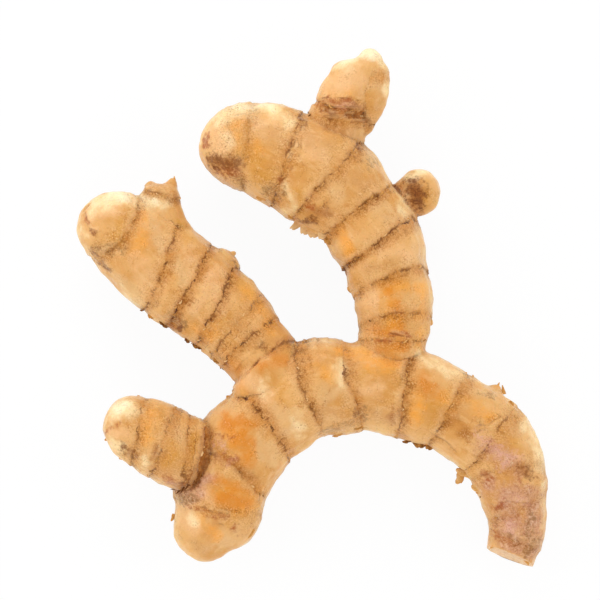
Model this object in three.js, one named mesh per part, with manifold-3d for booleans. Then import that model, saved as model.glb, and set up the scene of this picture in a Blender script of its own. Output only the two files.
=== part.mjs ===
// Turmeric root: the fresh rhizome of Curcuma longa, broken from its clump and lying on a table.
//
// The rhizome is one grown solid. A curved mother rhizome carries two long fingers, one short side finger
// and three buds. Every shoot is ringed by the scars of its scale leaves, and between two rings the flesh
// swells a little. It lies on four soft spots, which its own weight has pressed flat.
//
// Frame: millimetres, +Z up from the table. X and Y lie in the table, and +Y points from the mother rhizome
// towards the tips of the fingers. The origin is on the table, under the middle of the rhizome.

import * as THREE from "three";
import { mergeVertices } from "three/addons/utils/BufferGeometryUtils.js";
import Module from "manifold-3d";

// Driving dimensions.
const LENGTH = 111; // from the end of the mother rhizome to the top of the highest bud, along Y
const DRAWN_LENGTH = 111; // the same length in the tables below, which LENGTH scales
const SCALE = LENGTH / DRAWN_LENGTH;
const PLUMPNESS = 0.92; // a shoot's height over its width
const AROUND = 24; // facets round a long shoot
const DOME_LOOPS = 4; // loops that close a rounded tip
const LOOP_SHARES = [0, 0.14, 0.5, 0.86]; // where the loops lie between two rings
const SKIN_COLOUR = 0xdca869;

// Each shoot grows along a spine of [x, y, height of the centre, half width], from its base to its tip.
// A ring is [distance along the spine, lean, bow, depth]. Lean is how far it runs ahead on the right side of
// the shoot, bow is how far it runs ahead on top, and depth is how far it sinks under the swelling flesh.
// tipDome is the length of the rounded tip and baseDome that of the base.
const SHOOTS = {
  mother: {
    spine: [
      [-23.6, -53.9, 8.2, 9.0],
      [-21.2, -45.2, 8.0, 9.2],
      [-19.2, -39.1, 8.6, 9.7],
      [-14.7, -29.9, 9.6, 9.8],
      [-9.6, -23.4, 10.4, 10.8],
      [0.8, -17.0, 10.8, 11.2],
      [8.3, -16.8, 10.6, 9.8],
      [14.7, -17.0, 10.4, 9.9],
      [21.6, -18.9, 10.0, 10.2],
      [30.4, -22.3, 9.4, 9.5],
      [38.6, -28.6, 8.6, 9.0],
      [42.7, -36.6, 7.6, 8.1],
      [43.8, -43.9, 6.4, 7.0],
      [43.9, -49.9, 5.4, 6.2],
      [43.6, -54.4, 4.7, 5.6],
    ],
    rings: [
      [9.5, 0, 1.5, 0.4],
      [17, -2, 5, 0.4],
      [30.2, -0.6, 2.4, 0.9],
      [43.5, -1.2, 0, 0.7],
      [53.6, 1.2, 0.4, 0.7],
      [65.4, 1.8, 0, 0.8],
      [75.8, -1.3, 0, 0.6],
      [86.2, 1.8, -1.5, 0.5],
      [94.2, -1, -2.5, 0.4],
      [102, 1.3, -1.6, 0.4],
      [109.6, -1.9, 0, 0.3],
    ],
    baseDome: 9,
    tipDome: 2.5,
  },
  leftFinger: {
    spine: [
      [-7.0, -15.5, 10.4, 6.8],
      [-11.1, -10.5, 10.4, 7.1],
      [-15.4, -4.9, 10.0, 8.6],
      [-20.9, 0.4, 9.8, 9.7],
      [-26.2, 4.4, 9.4, 10.5],
      [-31.8, 8.6, 9.1, 10.3],
      [-37.4, 13.2, 8.7, 9.8],
      [-43.0, 17.8, 8.8, 8.5],
      [-48.6, 21.4, 9.2, 7.4],
    ],
    rings: [
      [7.6, 0.2, 1.1, 0.5],
      [13.3, 1, 0, 0.4],
      [20.2, 2.3, -0.6, 0.6],
      [27.9, 1.5, -0.7, 0.9],
      [35.5, 2.5, -1, 0.6],
      [48.5, 0, -3.8, 0.6],
    ],
    baseDome: 3,
    tipDome: 7.5,
  },
  rightFinger: {
    spine: [
      [16.6, -14.5, 10.4, 6.8],
      [17.7, -6.5, 10.6, 7.2],
      [18.0, 1.1, 10.8, 8.9],
      [16.7, 7.6, 10.8, 9.3],
      [13.9, 14.9, 10.6, 10.0],
      [9.1, 21.0, 10.4, 10.6],
      [2.5, 27.2, 10.2, 11.7],
      [-4.6, 32.6, 9.8, 11.2],
      [-11.1, 34.2, 9.2, 10.2],
      [-17.5, 34.8, 9.0, 9.0],
      [-24.4, 34.0, 9.2, 7.6],
    ],
    rings: [
      [7.6, 0.4, 0, 0.4],
      [12, 2, 1.8, 0.5],
      [20, 0.5, 1.6, 0.6],
      [28, 1.7, 0.9, 0.8],
      [37, 0, 0.4, 0.6],
      [46.7, -0.5, 0, 0.7],
      [56, 0.9, 0, 0.9],
      [65.5, 0.7, 0, 0.3],
    ],
    baseDome: 3,
    tipDome: 8,
  },
  sideFinger: {
    spine: [
      [-22.5, -33.0, 11.6, 6.6],
      [-27.4, -31.4, 12.6, 7.8],
      [-32.8, -28.8, 13.2, 8.4],
      [-38.4, -26.4, 13.6, 7.5],
      [-44.7, -24.4, 13.6, 6.2],
    ],
    rings: [
      [6, 1.6, 0, 0.5],
      [10.5, 0.7, 0, 0.6],
      [16.3, 1.7, 0, 0.6],
    ],
    baseDome: 3,
    tipDome: 6,
  },
  crownBud: {
    spine: [
      [5.0, 33.0, 10.8, 6.6],
      [6.6, 38.7, 11.4, 7.2],
      [8.3, 43.6, 12.2, 7.6],
      [10.4, 49.0, 13.0, 6.6],
      [12.6, 55.6, 13.4, 4.8],
    ],
    rings: [
      [6.8, 2, 0, 0.5],
      [11.2, 1.4, 0, 0.5],
    ],
    baseDome: 2,
    tipDome: 5,
  },
  ballBud: {
    spine: [
      [13.5, 18.8, 10.8, 3.4],
      [18.6, 22.2, 11.0, 3.9],
      [23.3, 25.2, 11.2, 4.9],
      [27.3, 27.7, 11.4, 4.5],
    ],
    rings: [[8.6, 0, 0, 0.8]],
    baseDome: 1,
    tipDome: 4.5,
  },
  tornBud: {
    spine: [
      [-31.5, 15.0, 11.4, 4.6],
      [-32.0, 21.0, 12.2, 4.4],
      [-32.3, 27.2, 12.8, 3.8],
    ],
    rings: [[8, 0, 0, 0.4]],
    baseDome: 1,
    tipDome: 1.4,
  },
  knot: {
    spine: [
      [-22.0, 6.5, 10.6, 3.2],
      [-19.2, 9.2, 10.8, 3.0],
      [-16.8, 11.4, 11.0, 2.6],
    ],
    rings: [[3.6, 0, 0, 0.2]],
    baseDome: 1,
    tipDome: 2.4,
  },
};

const UP = new THREE.Vector3(0, 0, 1);
const wasm = await Module();
wasm.setup();

// The share of the half width at a distance from a domed end, which closes it like an ellipse.
function domed(distance, dome) {
  const share = Math.min(1, distance / dome);
  return Math.sqrt(1 - (1 - share) ** 2);
}

// The value of column at a distance along the shoot, straight between its rings.
function ringValue(rings, column, along) {
  const after = rings.findIndex((ring) => ring[0] > along);
  if (after === 0) return rings[0][column];
  if (after === -1) return rings[rings.length - 1][column];
  const [before, next] = [rings[after - 1], rings[after]];
  const share = (along - before[0]) / (next[0] - before[0]);
  return before[column] + (next[column] - before[column]) * share;
}

// A shoot's smooth centre line and half width, both read by the distance along it.
class Spine {
  constructor(points) {
    this.centre = new THREE.CatmullRomCurve3(points.map(([x, y, z]) => new THREE.Vector3(x, y, z)));
    this.centre.arcLengthDivisions = 400;
    this.width = new THREE.CatmullRomCurve3(points.map(([, , , half]) => new THREE.Vector3(half, 0, 0)));
    this.width.curveType = "catmullrom";
    this.length = this.centre.getLength();
  }

  halfWidth(along) {
    const share = THREE.MathUtils.clamp(along / this.length, 0, 1);
    return this.width.getPoint(this.centre.getUtoTmapping(share)).x;
  }

  // The point beside the centre line: right along the table, and up from it.
  place(along, right, up) {
    const share = THREE.MathUtils.clamp(along / this.length, 0, 1);
    const tangent = this.centre.getTangentAt(share);
    const rightward = tangent.clone().cross(UP).normalize();
    const upward = rightward.clone().cross(tangent);
    return this.centre
      .getPointAt(share)
      .addScaledVector(tangent, along - share * this.length)
      .addScaledVector(rightward, right)
      .addScaledVector(upward, up);
  }
}

// The distances along a shoot where its loops lie: on each ring, between two rings, and close up at the ends.
function loopsAlong(rings, length, baseDome, tipDome) {
  const marks = [0, ...rings.map((ring) => ring[0]), length];
  const loops = [];
  for (let i = 0; i + 1 < marks.length; i++) {
    const span = marks[i + 1] - marks[i];
    for (const share of LOOP_SHARES) loops.push(marks[i] + share * span);
  }
  const inDome = (along) => along < baseDome || along > length - tipDome;
  const dome = [];
  for (let i = 0; i < DOME_LOOPS; i++) {
    const depth = 1 - Math.cos((i / DOME_LOOPS) * (Math.PI / 2));
    dome.push(baseDome * depth, length - tipDome * depth);
  }
  return [...loops.filter((along) => !inDome(along)), ...dome].sort((a, b) => a - b);
}

// A shoot is turned on a lathe along its own length, and then bent along its spine.
function grow({ spine: points, rings, baseDome, tipDome }) {
  const spine = new Spine(points);
  const swell = (along) => {
    const near = Math.min(...rings.map((ring) => Math.abs(along - ring[0])));
    const depth = ringValue(rings, 3, along);
    return depth * Math.exp(-((near / 1.1) ** 2));
  };
  const profile = loopsAlong(rings, spine.length, baseDome, tipDome).map((along) => {
    const half = spine.halfWidth(along) - swell(along);
    const ends = domed(along, baseDome) * domed(spine.length - along, tipDome);
    return new THREE.Vector2(half * ends, along);
  });
  profile[0].x = 0;
  profile[profile.length - 1].x = 0;
  const geometry = new THREE.LatheGeometry(profile, AROUND);
  const position = geometry.getAttribute("position");
  for (let i = 0; i < position.count; i++) {
    const [right, along, up] = [position.getX(i), position.getY(i), position.getZ(i)];
    const half = spine.halfWidth(along);
    const ahead = (ringValue(rings, 1, along) * right + ringValue(rings, 2, along) * up) / half;
    const placed = spine.place(along + ahead, right, up * PLUMPNESS);
    position.setXYZ(i, placed.x, placed.y, placed.z);
  }
  return geometry;
}

// A closed geometry as a manifold-3d solid.
function solidOf(geometry) {
  const bare = new THREE.BufferGeometry().setAttribute("position", geometry.getAttribute("position"));
  bare.setIndex(geometry.index);
  const merged = mergeVertices(bare, 1e-4);
  const solid = new wasm.Manifold(
    new wasm.Mesh({
      numProp: 3,
      vertProperties: merged.attributes.position.array,
      triVerts: new Uint32Array(merged.index.array),
    }),
  );
  if (solid.volume() > 0) return solid;
  throw new Error("a shoot is inside out");
}

// A manifold-3d solid as a three.js geometry.
function geometryOf(solid) {
  const mesh = solid.getMesh();
  const geometry = new THREE.BufferGeometry();
  geometry.setAttribute("position", new THREE.BufferAttribute(mesh.vertProperties, mesh.numProp));
  geometry.setIndex(new THREE.BufferAttribute(mesh.triVerts, 1));
  geometry.computeVertexNormals();
  return geometry;
}

// The whole rhizome, cut flat where it presses on the table.
const shoots = Object.values(SHOOTS).map((shoot) => solidOf(grow(shoot)));
const grown = shoots.reduce((whole, shoot) => whole.add(shoot));
const table = wasm.Manifold.cube([2 * LENGTH, 2 * LENGTH, LENGTH], true).translate([0, 0, -LENGTH / 2]);
const resting = grown.subtract(table);

// The origin goes under the middle of the finished size.
const geometry = geometryOf(resting);
geometry.computeBoundingBox();
const { min, max } = geometry.boundingBox;
geometry.translate(-(min.x + max.x) / 2, -(min.y + max.y) / 2, 0);
geometry.scale(SCALE, SCALE, SCALE);
const material = new THREE.MeshStandardMaterial({ color: SKIN_COLOUR, roughness: 0.6, metalness: 0 });
const rhizomeMesh = new THREE.Mesh(geometry, material);
rhizomeMesh.name = "rhizome";

const turmericRoot = new THREE.Group();
turmericRoot.add(rhizomeMesh);
export default turmericRoot;
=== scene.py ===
# %% [markdown]
# # A turmeric root
# This notebook gives a fresh turmeric root its looks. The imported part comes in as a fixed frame, which
# says how big the root is and where it lies. Here its shoots are modelled again with a skin, leaf scars
# and torn scales.

# %% Load the frame
from math import atan2, cos, hypot, pi, radians, sin
import bpy
import numpy as np
from mathutils import Matrix, Vector, noise


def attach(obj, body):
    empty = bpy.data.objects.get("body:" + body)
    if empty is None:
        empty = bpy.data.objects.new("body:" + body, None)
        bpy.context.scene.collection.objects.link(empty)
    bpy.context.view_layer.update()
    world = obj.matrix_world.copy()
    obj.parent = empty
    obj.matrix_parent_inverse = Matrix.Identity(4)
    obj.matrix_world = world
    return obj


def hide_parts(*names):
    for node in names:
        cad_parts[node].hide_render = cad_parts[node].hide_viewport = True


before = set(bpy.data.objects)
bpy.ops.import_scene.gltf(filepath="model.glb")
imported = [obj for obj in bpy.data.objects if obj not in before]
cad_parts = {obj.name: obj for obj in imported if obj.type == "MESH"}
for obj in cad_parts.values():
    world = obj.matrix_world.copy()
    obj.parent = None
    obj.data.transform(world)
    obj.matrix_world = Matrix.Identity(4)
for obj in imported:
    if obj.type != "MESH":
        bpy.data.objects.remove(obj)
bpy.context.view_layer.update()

MM = 0.001

# %% [markdown]
# ## The plan of the shoots
# A rhizome is a stem that creeps underground. A mother stem carries fingers, and the fingers carry buds.
# Each of these shoots can be written as a few stations from its base to its tip: a centre and a half
# width. Its domes are the lengths over which its base and its tip round off. The heel, the shoulder, the
# horns and the spur are small swellings and points of the same flesh, and are written in the same way.
#
# Each ring is the scar of a scale leaf. It has a place along the shoot, a lean to one side, a bow over
# the top, a depth, an ink that says how dark its line is, and a smudge that says how much soil its groove
# holds. The flesh on the tip's side of a ring stands proud and ends in a ragged edge.

# %% Stations and rings, in millimetres
SHOOTS = {
    "mother": {
        "stations": [
            (42.4, -57.0, 4.4, 5.2), (43.6, -52.6, 5.0, 5.8), (44.3, -48.6, 5.6, 6.4),
            (44.2, -43.9, 6.4, 6.8), (43.0, -36.6, 7.6, 8.2), (38.8, -28.7, 8.6, 9.0),
            (30.2, -22.6, 9.4, 9.2), (21.6, -18.9, 10.0, 10.0), (14.7, -16.9, 10.4, 9.7),
            (9.0, -17.1, 10.6, 9.5), (6.2, -17.8, 10.7, 10.0), (0.6, -17.0, 10.8, 10.8),
            (-9.0, -23.7, 10.4, 10.2), (-14.8, -30.1, 9.6, 10.3), (-19.3, -39.1, 8.6, 10.0),
            (-20.4, -44.0, 8.1, 10.0), (-23.2, -48.6, 8.1, 7.8), (-25.4, -54.2, 8.2, 7.6),
        ],
        "domes": (0.4, 8.8),
        "rings": [
            (8, -2, 0, 0.2, 0.3, 0.4), (14.6, 2.7, 1.1, 0.25, 0.2, 0.4), (22.4, -2, 2.6, 0.3, 0.2, 0.3),
            (29.8, 1.1, 2, 0.25, 0.5, 0.3), (42.6, -0.6, 0, 0.4, 0.5, 0.9),
            (51.5, 1.8, 1.3, 0.5, 0.6, 0.9), (64.7, 0.7, -0.7, 0.5, 0.8, 0.7),
            (73.6, -1.6, 0.4, 0.45, 0.5, 0.8), (87, -0.5, -3.3, 0.6, 1, 0.5),
            (98.3, -3, -3, 0.3, 0.3, 0.5), (106.8, 0.3, -1, 0.3, 0.15, 0.2),
        ],
    },
    "heel": {
        "stations": [(-2.8, -20.6, 10.4, 8.8), (-7.4, -16.2, 10.6, 9.3), (-13.0, -11.0, 10.8, 9.2)],
        "domes": (1, 3),
        "rings": [],
    },
    "left finger": {
        "stations": [
            (-7.6, -13.8, 10.4, 7.6), (-11.6, -9.4, 10.2, 8.3), (-15.5, -4.9, 10.0, 9.0),
            (-20.8, 0.4, 9.8, 9.6), (-26.1, 4.6, 9.4, 10.5), (-31.7, 8.8, 9.1, 10.4),
            (-37.4, 13.3, 8.7, 9.9), (-43.0, 17.6, 8.8, 8.8), (-49.3, 21.7, 9.2, 7.7),
        ],
        "domes": (3, 8),
        "rings": [
            (8, 0.2, 1.4, 0.35, 0.8, 0.3), (12.9, 1.2, 0.3, 0.3, 0.5, 0.3),
            (19.3, 2.4, -0.7, 0.5, 0.9, 0.4), (26.6, 1.7, -1, 0.6, 0.9, 1),
            (34.8, 3, -2.4, 0.45, 0.7, 0.5), (48.5, 0, -4.6, 0.45, 0.25, 0.6),
        ],
    },
    "right finger": {
        "stations": [
            (16.4, -14.5, 10.4, 7.0), (17.3, -6.5, 10.6, 7.4), (17.8, 0.8, 10.8, 8.6),
            (16.2, 7.7, 10.8, 9.0), (13.8, 15.0, 10.6, 10.2), (9.2, 21.3, 10.4, 10.1),
            (2.8, 27.7, 10.2, 11.8), (-5.0, 31.8, 9.8, 11.0), (-11.1, 34.1, 9.2, 10.4),
            (-17.5, 34.9, 9.0, 9.3), (-24.4, 35.0, 9.2, 7.6),
        ],
        "domes": (3, 8.5),
        "rings": [
            (7.7, 0.6, 0, 0.2, 0.4, 0.1), (11.2, 1.7, 2.3, 0.3, 0.4, 0.5),
            (19.5, 0.8, 2.2, 0.45, 0.5, 0.8), (27.7, 2.3, 1.3, 0.6, 0.9, 1),
            (37, -0.6, 0.5, 0.45, 0.5, 1), (46.8, -0.9, -0.2, 0.45, 0.6, 0.7),
            (56.2, 1.2, -0.4, 0.5, 0.5, 0.3), (65.4, 0, 0, 0.5, 0.15, 0.3), (69.8, 0, 0, 0.3, 0, 0.1),
        ],
    },
    "side finger": {
        "stations": [
            (-22.0, -32.4, 11.6, 7.5), (-27.3, -30.9, 12.6, 8.3), (-32.6, -28.2, 13.2, 8.5),
            (-38.1, -25.5, 13.6, 7.4), (-44.4, -23.4, 13.6, 6.0),
        ],
        "domes": (3, 6),
        "rings": [
            (3.6, 0.4, -1.2, 0.4, 0.6, 1), (6.8, 2.2, -0.8, 0.4, 0.5, 0.7),
            (10.9, 1.1, 0.2, 0.4, 0.5, 0.6), (16.6, 1.7, 0, 0.4, 0.4, 0.5),
        ],
    },
    "crown bud": {
        "stations": [
            (5.6, 33.0, 10.6, 5.6), (5.4, 38.5, 11.2, 6.4), (6.0, 41.3, 11.8, 6.3),
            (6.8, 43.4, 12.2, 6.1), (7.1, 45.4, 12.6, 6.0), (8.0, 48.0, 12.8, 4.9),
            (8.8, 53.3, 12.8, 3.7),
        ],
        "domes": (2, 2.5),
        "rings": [(10.6, 0.3, 0, 0.6, 0.7, 0.6), (8.2, 1, 0, 0.2, 0.3, 0.6)],
    },
    "crown tip": {
        "stations": [
            (7.8, 46.0, 12.6, 4.2), (9.8, 49.3, 13.0, 4.6), (11.9, 51.4, 13.4, 3.6),
            (12.0, 53.8, 13.4, 3.0), (11.6, 55.6, 13.4, 2.3),
        ],
        "domes": (2, 3.2),
        "rings": [],
    },
    "crown sheath": {
        "stations": [
            (10.2, 36.7, 10.8, 2.0), (11.3, 40.1, 12.2, 2.6), (12.8, 43.9, 13.4, 3.2),
            (13.7, 47.3, 13.8, 3.3), (13.7, 50.3, 13.8, 3.1), (12.7, 52.7, 13.6, 2.4),
        ],
        "domes": (2, 2.6),
        "rings": [(4.5, 0, 0, 0.2, 0.3, 0.3), (14, 0.5, 0, 0.15, 0.3, 0.4)],
    },
    "ball bud": {
        "stations": [
            (13.5, 19.4, 8.8, 4.2), (18.6, 22.2, 8.8, 4.3), (22.8, 24.8, 9.0, 4.9),
            (27.0, 27.6, 9.2, 4.6),
        ],
        "domes": (1, 4.6),
        "rings": [(6.8, 0, 0, 0.4, 1, 1)],
    },
    "torn bud": {
        "stations": [
            (-30.6, 14.4, 9.2, 6.2), (-31.9, 19.0, 9.4, 4.9), (-32.5, 23.6, 9.6, 4.6),
            (-32.2, 26.8, 9.8, 3.8),
        ],
        "domes": (1, 1),
        "rings": [(10.5, -1.2, 0, 0.35, 0.3, 0.5)],
    },
    "left horn": {
        "stations": [(-33.8, 22.8, 9.6, 2.4), (-34.6, 25.4, 9.6, 1.7), (-34.8, 27.7, 9.6, 0.9)],
        "domes": (1, 1),
        "rings": [],
    },
    "right horn": {
        "stations": [(-31.2, 22.8, 9.6, 2.6), (-30.4, 25.4, 9.6, 1.7), (-29.8, 28.1, 9.6, 0.8)],
        "domes": (1, 1),
        "rings": [],
    },
    "spur": {
        "stations": [(37.0, -22.0, 8.8, 3.6), (38.8, -19.1, 8.8, 2.7), (40.4, -16.0, 8.8, 0.9)],
        "domes": (1, 1),
        "rings": [],
    },
    "shoulder": {
        "stations": [(-24.0, 3.6, 9.0, 4.8), (-21.0, 7.2, 9.4, 4.8), (-17.2, 11.8, 9.8, 4.2)],
        "domes": (1, 3.4),
        "rings": [],
    },
}
PLUMPNESS = 0.92  # a shoot's height over its width
print(len(SHOOTS), "shoots,", sum(len(shoot["rings"]) for shoot in SHOOTS.values()), "rings")

# %% [markdown]
# ## From stations to a smooth path
# A shoot modelled only at its stations would be a chain of straight tubes. A curve that passes through
# every station and turns evenly between them gives as many loops as the skin needs.

# %% A smooth path through the stations
def smooth_path(stations, step=0.6):
    """Points [x, y, z, half width] about a step apart on a smooth curve through the stations."""
    knots = np.array(stations, float)
    before = np.vstack([2 * knots[0] - knots[1], knots[:-1]])
    after = np.vstack([knots[1:], 2 * knots[-1] - knots[-2]])
    slopes = (after - before) / 2
    points = []
    for a, b, slope_a, slope_b in zip(knots[:-1], knots[1:], slopes[:-1], slopes[1:]):
        count = max(2, round(np.linalg.norm(b[:3] - a[:3]) / step))
        t = np.arange(count)[:, None] / count
        points.append(
            (2 * t**3 - 3 * t**2 + 1) * a + (t**3 - 2 * t**2 + t) * slope_a
            + (3 * t**2 - 2 * t**3) * b + (t**3 - t**2) * slope_b
        )
    return np.vstack(points + [knots[-1:]])


class Path:
    """A shoot's centre line, with what the skin needs to know at each point of it."""

    def __init__(self, shoot):
        points = smooth_path(shoot["stations"])
        self.centre, self.half = points[:, :3], points[:, 3]
        gaps = np.linalg.norm(np.diff(self.centre, axis=0), axis=1)
        self.along = np.concatenate([[0], np.cumsum(gaps)])
        self.length = self.along[-1]
        self.ahead = np.gradient(self.centre, self.along, axis=0)
        self.ahead /= np.linalg.norm(self.ahead, axis=1)[:, None]
        base_dome, tip_dome = shoot["domes"]
        from_base = np.clip(self.along / base_dome, 0, 1)
        from_tip = np.clip((self.length - self.along) / tip_dome, 0, 1)
        self.dome = np.sqrt(1 - (1 - from_base) ** 2) * np.sqrt(1 - (1 - from_tip) ** 2)


paths = {name: Path(shoot) for name, shoot in SHOOTS.items()}
for name, path in paths.items():
    print(name, "is", round(path.length, 1), "mm long")

# %% [markdown]
# ## Modelling a shoot
# A shoot could be a curve with a bevel, but then it can't be pinched by hand. Here it grows as it does in
# the ground: a disc is laid at its base, then extruded, moved, resized and turned, loop after loop, up to
# its tip.

# %% Grow the shoots
LOOP_SIDES = 48
SMALLEST_LOOP = 0.12  # the size of a shoot's end loops, over its half width


def turn(ahead):
    """The angle that turns a loop which faces -Y so that it faces ahead, seen from above."""
    return atan2(ahead[1], ahead[0]) + pi / 2


def grow(name):
    """One shoot, extruded loop by loop from a disc at its base."""
    path = paths[name]
    size = np.maximum(path.half * path.dome, SMALLEST_LOOP * path.half)
    bpy.ops.object.select_all(action="DESELECT")
    bpy.ops.mesh.primitive_circle_add(
        vertices=LOOP_SIDES, radius=size[0] * MM, fill_type="NGON",
        location=path.centre[0] * MM, rotation=(radians(90), 0, turn(path.ahead[0])),
    )
    shoot = bpy.context.object
    shoot.name = name
    bpy.ops.object.transform_apply(location=True, rotation=True, scale=True)
    bpy.ops.object.mode_set(mode="EDIT")
    bpy.ops.mesh.select_all(action="SELECT")
    bpy.ops.transform.resize(value=(1, 1, PLUMPNESS), center_override=path.centre[0] * MM)
    for i in range(1, len(size)):
        step = (path.centre[i] - path.centre[i - 1]) * MM
        bpy.ops.mesh.extrude_region_move(TRANSFORM_OT_translate={"value": step})
        here = path.centre[i] * MM
        growth = size[i] / size[i - 1]
        bpy.ops.transform.resize(value=(growth, growth, growth), center_override=here)
        swing = turn(path.ahead[i]) - turn(path.ahead[i - 1])
        swing = (swing + pi) % (2 * pi) - pi
        bpy.ops.transform.rotate(value=-swing, orient_axis="Z", center_override=here)
    bpy.ops.mesh.select_all(action="SELECT")
    bpy.ops.mesh.normals_make_consistent(inside=False)
    bpy.ops.object.mode_set(mode="OBJECT")
    return shoot


shoots = [grow(name) for name in SHOOTS]
print("grew", len(shoots), "shoots with", sum(len(shoot.data.polygons) for shoot in shoots), "faces")

# %% [markdown]
# ## One skin over all the shoots
# On the real root the flesh runs through from shoot to shoot. A Boolean would leave hard corners and long
# thin faces where two shoots meet. A voxel remesh melts the joined shoots into one skin of small even
# faces, and a little smoothing rounds the corners between them.

# %% Melt the shoots together
FACE_SIZE = 0.48  # of the skin's faces, in millimetres
SMOOTHING_ROUNDS = 16


def join(items, name):
    """Make one object of several, under a new name."""
    bpy.ops.object.select_all(action="DESELECT")
    for item in items:
        item.select_set(True)
    bpy.context.view_layer.objects.active = items[0]
    bpy.ops.object.join()
    joined = bpy.context.object
    joined.name = name
    return joined


rhizome = join(shoots, "rhizome_skin")
bpy.ops.object.transform_apply(location=True, rotation=True, scale=True)

melt = rhizome.modifiers.new("melt", "REMESH")
melt.mode = "VOXEL"
melt.voxel_size = FACE_SIZE * MM
bpy.ops.object.modifier_apply(modifier=melt.name)
soften = rhizome.modifiers.new("soften", "SMOOTH")
soften.factor = 0.5
soften.iterations = SMOOTHING_ROUNDS
bpy.ops.object.modifier_apply(modifier=soften.name)
bpy.ops.object.shade_smooth()
print("one skin of", len(rhizome.data.polygons), "faces")

# %% [markdown]
# ## Where each point of the skin lies
# Leaf scars run round a shoot, and wrinkles run along it. So each point of the skin is told which shoot
# it is on, how far along that shoot it lies, and where it sits round it. A point near a second shoot lies
# by a seam. A loop over 97,000 points would be slow in plain Python, so numpy works on all of them at
# once.

# %% Read the skin and place it on the shoots
skin = rhizome.data


def read_vectors(source, key):
    """A row of x, y and z for every point of the skin."""
    values = np.empty(len(source) * 3, np.float32)
    source.foreach_get(key, values)
    return values.reshape(-1, 3)


def lie_on(path):
    """Each point's place along and round a shoot, its gap to it, and the shoot's half width and heading."""
    away = (points**2).sum(1)[:, None] + (path.centre**2).sum(1) - 2 * points @ path.centre.T
    nearest = away.argmin(1)
    ahead = path.ahead[nearest]
    offset = points - path.centre[nearest]
    step = (offset * ahead).sum(1)
    along = path.along[nearest] + step
    offset = offset - ahead * step[:, None]
    rightward = np.cross(ahead, (0, 0, 1))
    rightward /= np.linalg.norm(rightward, axis=1)[:, None]
    half = path.half[nearest]
    right = (offset * rightward).sum(1) / half
    up = (offset * np.cross(rightward, ahead)).sum(1) / (half * PLUMPNESS)
    off = (np.hypot(right, up) - path.dome[nearest]) * half
    heading = np.arctan2(ahead[:, 1], ahead[:, 0])
    return along, right, up, off, half, heading


points = read_vectors(skin.vertices, "co") / MM
outward = read_vectors(skin.vertex_normals, "vector")
lies = {name: lie_on(path) for name, path in paths.items()}
offs = np.array([lies[name][3] for name in SHOOTS])
ranked = offs.argsort(0)
owner = ranked[0]
names = list(SHOOTS)
each = np.arange(len(points))
along, right, up, off, half, heading = (
    np.choose(owner, [lies[name][i] for name in names]) for i in range(6)
)
seam_gap = np.maximum(offs[ranked[1], each] - np.maximum(off, 0), 0)
print({name: int((owner == i).sum()) for i, name in enumerate(names)})

# %% [markdown]
# ## Relief
# The scars are ragged, so no modifier draws them. Instead the points of the skin are pushed in and out in
# code, as a sculptor's strokes would: the flesh swells between two rings, each ring is a rim over a
# narrow groove, and lumps and long wrinkles run over everything.

# %% Noise over the skin
def bumps(size, where=points, seed=0.0):
    """Smooth noise from -1 to 1, with lumps of about that size in millimetres."""
    return np.array([noise.noise(spot) for spot in (where / size + seed).tolist()])


straight = np.stack([right * half, up * half, along], 1)  # the skin unrolled, as if its shoot ran straight
ragged = 0.55 * bumps(2.8, seed=3.1) + 0.35 * bumps(1.2, seed=7.7)
print("a ring's edge wanders by up to", round(float(np.abs(ragged).max()), 1), "mm")

# %% Rings: how far each point lies from the nearest one, towards the tip if more than 0
ring_gap = np.full(len(points), 99.0)
ring_depth, ring_ink, ring_smudge = np.zeros((3, len(points)))
for i, name in enumerate(names):
    mine = np.flatnonzero(owner == i)
    for place, lean, bow, depth, ink, smudge in SHOOTS[name]["rings"]:
        gap = along[mine] - place - lean * right[mine] - bow * up[mine] + ragged[mine]
        nearer = np.abs(gap) < np.abs(ring_gap[mine])
        chosen = mine[nearer]
        ring_gap[chosen] = gap[nearer]
        ring_depth[chosen], ring_ink[chosen], ring_smudge[chosen] = depth, ink, smudge
print(int((np.abs(ring_gap) < 1).sum()), "points lie within a millimetre of a ring")

# %% The relief of the rings: proud on the tip's side, sunk on the other, narrow at the groove
patchy = np.clip(0.75 + 1.1 * bumps(3.2, seed=11.3), 0, 1.6)
proud = np.where(ring_gap > 0, np.exp(-ring_gap / 3), 0)
sunk = np.where(ring_gap <= 0, np.exp(ring_gap / 2.2), 0)
waist = np.exp(-((ring_gap / 3.2) ** 2))
frayed = np.exp(-((ring_gap / 1.2) ** 2)) * bumps(0.9, seed=51.9)
relief = ring_depth * (0.34 * proud * patchy - 0.4 * sunk * patchy - 0.8 * waist + 0.3 * frayed)
print("the deepest groove is", round(float(-relief.min()), 2), "mm")

# %% Seams between shoots
# How deep the seam round a shoot's base is, where it has one. Of two shoots that meet, the one that comes
# later in SHOOTS is the one that grew out of the other.
SEAMS = {
    "left finger": 0.4, "right finger": 0.1, "side finger": 0.22,
    "crown bud": 0.08, "crown sheath": 0.03, "ball bud": 0.4,
}
depths = np.array([SEAMS.get(name, 0) for name in names])
seam_depth = depths[np.maximum(owner, ranked[1])]
seam_gap = seam_gap + 0.5 * ragged
relief -= seam_depth * np.exp(-((seam_gap / 0.6) ** 2))
print(int((seam_depth * (seam_gap < 1) > 0).sum()), "points lie within a millimetre of a seam")

# %% Lumps and wrinkles
relief += 0.5 * bumps(9, seed=1.7) + 0.26 * bumps(4, seed=5.2) + 0.16 * bumps(1.8, seed=9.4)
relief += 0.07 * bumps(1, where=straight / (1.3, 1.3, 6.0), seed=2.3)
points = points + outward * relief[:, None]
print("the relief runs from", round(float(relief.min()), 2), "to", round(float(relief.max()), 2), "mm")

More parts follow.
